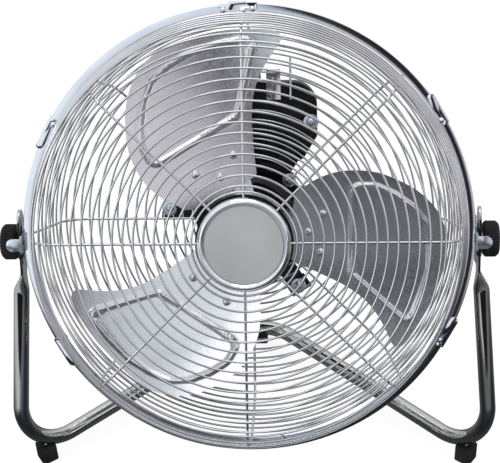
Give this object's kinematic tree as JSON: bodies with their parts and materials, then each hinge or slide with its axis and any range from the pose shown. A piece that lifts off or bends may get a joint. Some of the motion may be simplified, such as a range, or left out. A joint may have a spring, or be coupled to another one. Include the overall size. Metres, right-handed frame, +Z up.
{
  "type": "high-velocity floor fan",
  "caption": "Round chrome wire floor fan with three riveted blades, tilting between two black knobs on a bent-tube stand.",
  "frame": {"origin": "on the floor, under the middle of the overall box", "axes": "+X is the viewer's right along the pivot axis, -Y is the front, +Z is up"},
  "size_m": [0.5574, 0.3796, 0.5083],
  "materials": {
    "chrome_wire": "bright chrome plated wire",
    "chrome_band": "bright chrome plated steel strip",
    "chrome_tube": "bright chrome plated tube",
    "blade_metal": "polished pressed sheet",
    "badge_metal": "brushed disc",
    "black_plastic": "moulded black",
    "rubber_foot": "moulded black",
    "black_paint": "black enamel",
    "zinc": "zinc plated",
    "bare_steel": "machined",
    "core_steel": "laminated steel",
    "copper": "varnished copper winding",
    "grey_film": "moulded grey"
  },
  "bodies": {
    "stand": {"foot_screws": "bare_steel", "front_foot_left": "rubber_foot", "front_foot_right": "rubber_foot", "rear_foot": "rubber_foot", "saddle_left": "black_plastic", "saddle_right": "black_plastic", "stand_tube": "chrome_tube"},
    "head": {"box_hooks": "bare_steel", "cap_back_plate": "black_plastic", "cap_badge": "badge_metal", "cap_bezel": "chrome_band", "cap_front_plate": "black_plastic", "cap_screws": "bare_steel", "capacitor_strap": "bare_steel", "clip_nuts": "bare_steel", "clip_screws": "chrome_band", "control_box": "black_plastic", "control_box_lid": "black_plastic", "cord_gland": "black_plastic", "front_grille_ribs": "chrome_wire", "front_grille_rings": "chrome_wire", "grille_clips": "chrome_band", "guard_ring": "chrome_band", "lid_screws": "bare_steel", "motor_bearings": "bare_steel", "motor_front_bell": "black_paint", "motor_lead": "black_plastic", "motor_mount": "black_paint", "motor_rear_bell": "black_paint", "motor_through_bolts": "zinc", "mount_screws": "zinc", "mount_washers": "zinc", "pivot_nuts": "bare_steel", "rear_grille_ribs": "chrome_wire", "rear_grille_rings": "chrome_wire", "rim_wires": "chrome_wire", "ring_joint_plate": "chrome_band", "run_capacitor": "grey_film", "speed_switch": "grey_film", "stator_core": "core_steel", "stator_windings": "copper", "tilt_bracket_left": "zinc", "tilt_bracket_right": "zinc"},
    "rotor": {"blade_1": "blade_metal", "blade_2": "blade_metal", "blade_3": "blade_metal", "blade_hub": "bare_steel", "blade_rivets": "bare_steel", "blade_spider": "zinc", "hub_set_screw": "bare_steel", "rotor_core": "core_steel", "rotor_shaft": "bare_steel"},
    "tilt_knob_left_body": {"knob_stud_left": "bare_steel", "tilt_knob_left": "black_plastic"},
    "tilt_knob_right_body": {"knob_stud_right": "bare_steel", "tilt_knob_right": "black_plastic"},
    "speed_knob_body": {"speed_knob": "black_plastic"}
  },
  "joints": [
    {"name": "head_tilt", "type": "hinge", "parent": "stand", "child": "head", "pos_m": [0, -0.0221, 0.27], "axis": [-1, 0, 0], "range_deg": [-40, 28]},
    {"name": "fan_spin", "type": "hinge", "parent": "head", "child": "rotor", "pos_m": [0, -0.01735, 0.27823], "axis": [0, -0.866, 0.5], "continuous": true},
    {"name": "left_knob_turn", "type": "hinge", "parent": "stand", "child": "tilt_knob_left_body", "pos_m": [-0.2667, -0.0221, 0.27], "axis": [1, 0, 0], "range_deg": [0, 180]},
    {"name": "right_knob_turn", "type": "hinge", "parent": "stand", "child": "tilt_knob_right_body", "pos_m": [0.2667, -0.0221, 0.27], "axis": [1, 0, 0], "range_deg": [0, 180]},
    {"name": "speed_turn", "type": "hinge", "parent": "head", "child": "speed_knob_body", "pos_m": [0, 0.1699, 0.35256], "axis": [0, -0.5, -0.866], "range_deg": [0, 270]}
  ]
}
